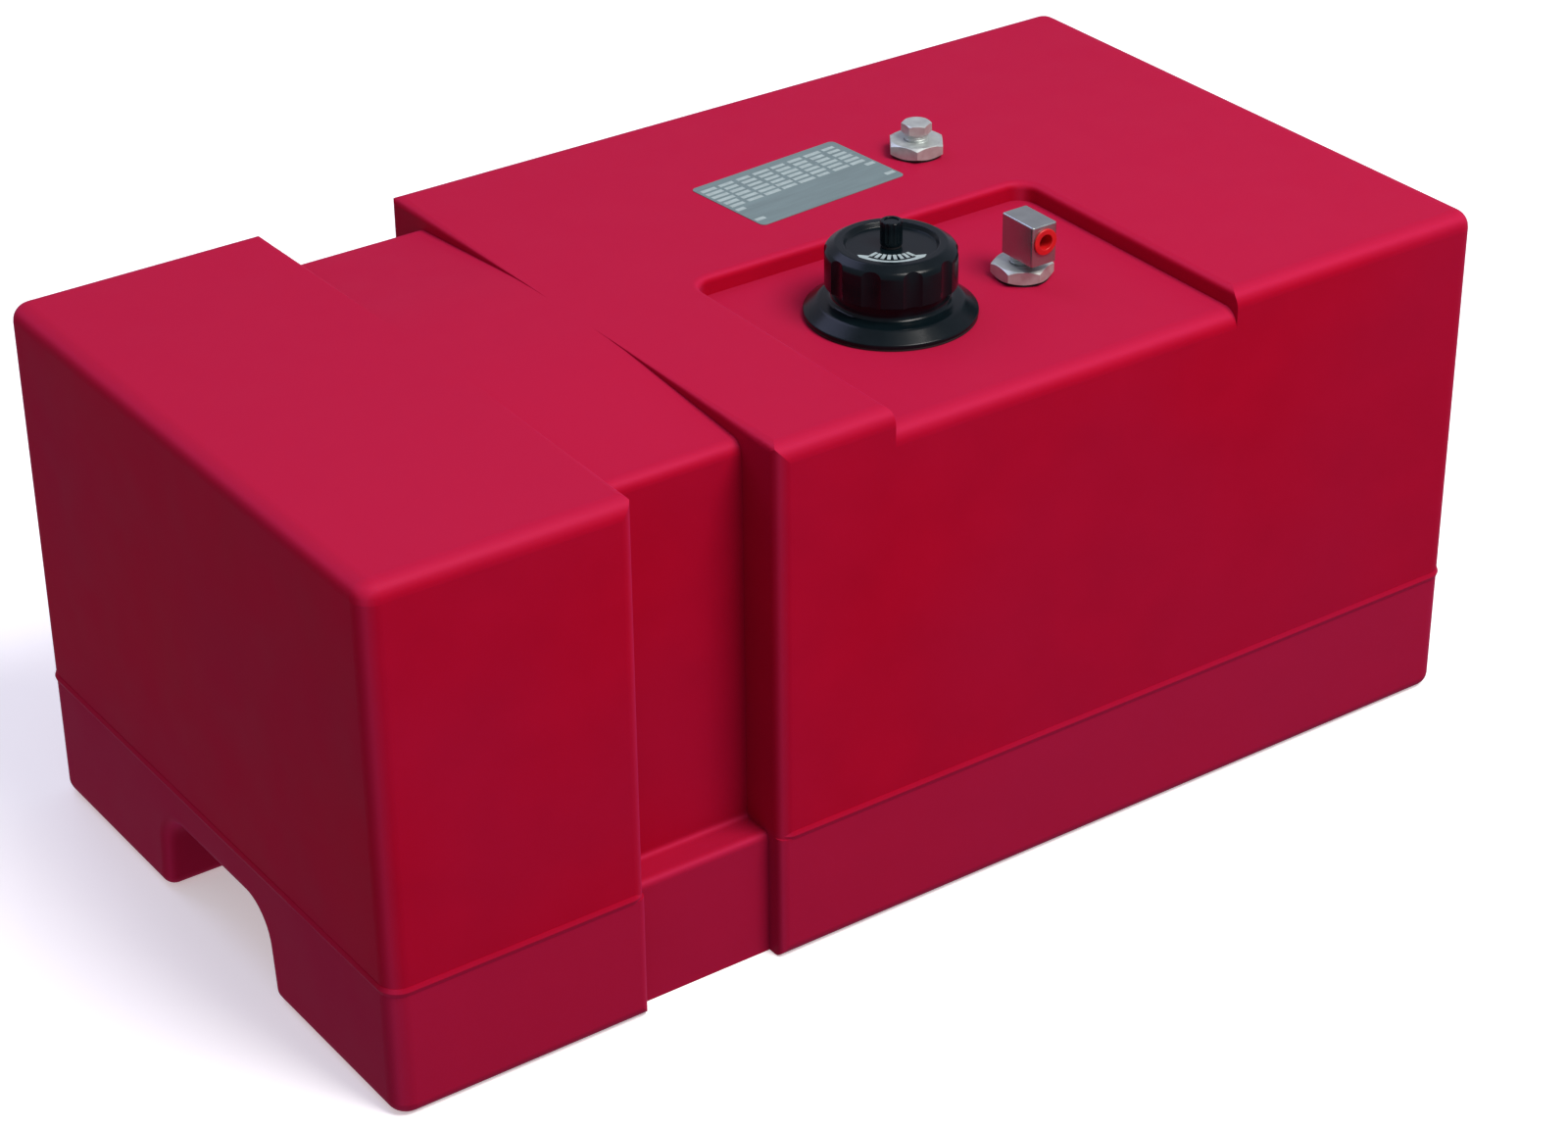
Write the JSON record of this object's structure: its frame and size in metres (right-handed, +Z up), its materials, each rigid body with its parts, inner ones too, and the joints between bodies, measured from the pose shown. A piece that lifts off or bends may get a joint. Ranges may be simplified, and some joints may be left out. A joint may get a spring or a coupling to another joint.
{
  "type": "outboard fuel tank",
  "caption": "Moulded plastic boat fuel tank with a strap waist, an underside channel, a vented screw cap, a fuel pickup elbow and a plugged spare port.",
  "frame": {"origin": "middle of the tank's footprint, on the floor", "axes": "+X along the length towards the filler end, +Y towards the long side away from the filler, +Z up"},
  "size_m": [0.8344, 0.4474, 0.4104],
  "materials": {
    "moulding": "satin",
    "black_plastic": "satin",
    "seal": "matt",
    "insert_metal": "satin",
    "fitting_metal": "satin",
    "plug_plastic": "gloss",
    "white_plastic": "satin",
    "plate_foil": "satin"
  },
  "bodies": {
    "tank": {"tank_shell": "moulding", "filler_neck": "black_plastic", "neck_gasket": "seal", "pickup_insert": "insert_metal", "pickup_gasket": "seal", "pickup_bushing": "fitting_metal", "pickup_elbow": "fitting_metal", "pickup_tube": "white_plastic", "pickup_screen": "white_plastic", "spare_insert": "insert_metal", "spare_gasket": "seal", "spare_bushing": "fitting_metal", "spare_plug": "fitting_metal", "data_plate": "plate_foil"},
    "cap_seal": {"cap_gasket": "seal"},
    "cap_guard": {"cap_baffle": "black_plastic"},
    "cap": {"cap_shell": "black_plastic"},
    "vent_seal": {"vent_washer": "seal"},
    "vent": {"vent_screw": "black_plastic", "vent_clip": "fitting_metal"},
    "outlet_plug": {"port_plug": "plug_plastic"}
  },
  "joints": [
    {"name": "cap_lift_off", "type": "slide", "parent": "tank", "child": "cap_seal", "axis": [0, 0, 1], "range_m": [0, 0.15]},
    {"name": "cap_rise", "type": "slide", "parent": "cap_seal", "child": "cap_guard", "axis": [0, 0, 1], "range_m": [0, 0.009]},
    {"name": "cap_turn", "type": "hinge", "parent": "cap_guard", "child": "cap", "pos_m": [0.0346, -0.096, 0.38], "axis": [0, 0, 1], "range_deg": [0, 540]},
    {"name": "vent_rise", "type": "slide", "parent": "cap", "child": "vent_seal", "axis": [0, 0, 1], "range_m": [0, 0.00375]},
    {"name": "vent_turn", "type": "hinge", "parent": "vent_seal", "child": "vent", "pos_m": [0.0346, -0.096, 0.395], "axis": [0, 0, 1], "range_deg": [0, 900]},
    {"name": "port_plug_pull", "type": "slide", "parent": "tank", "child": "outlet_plug", "axis": [0, -1, 0], "range_m": [0, 0.12]}
  ],
  "couplings": [
    {"joint": "cap_rise", "follows": "cap_turn", "m_per_rad": 0.0009549},
    {"joint": "vent_rise", "follows": "vent_turn", "m_per_rad": 0.0002387}
  ]
}
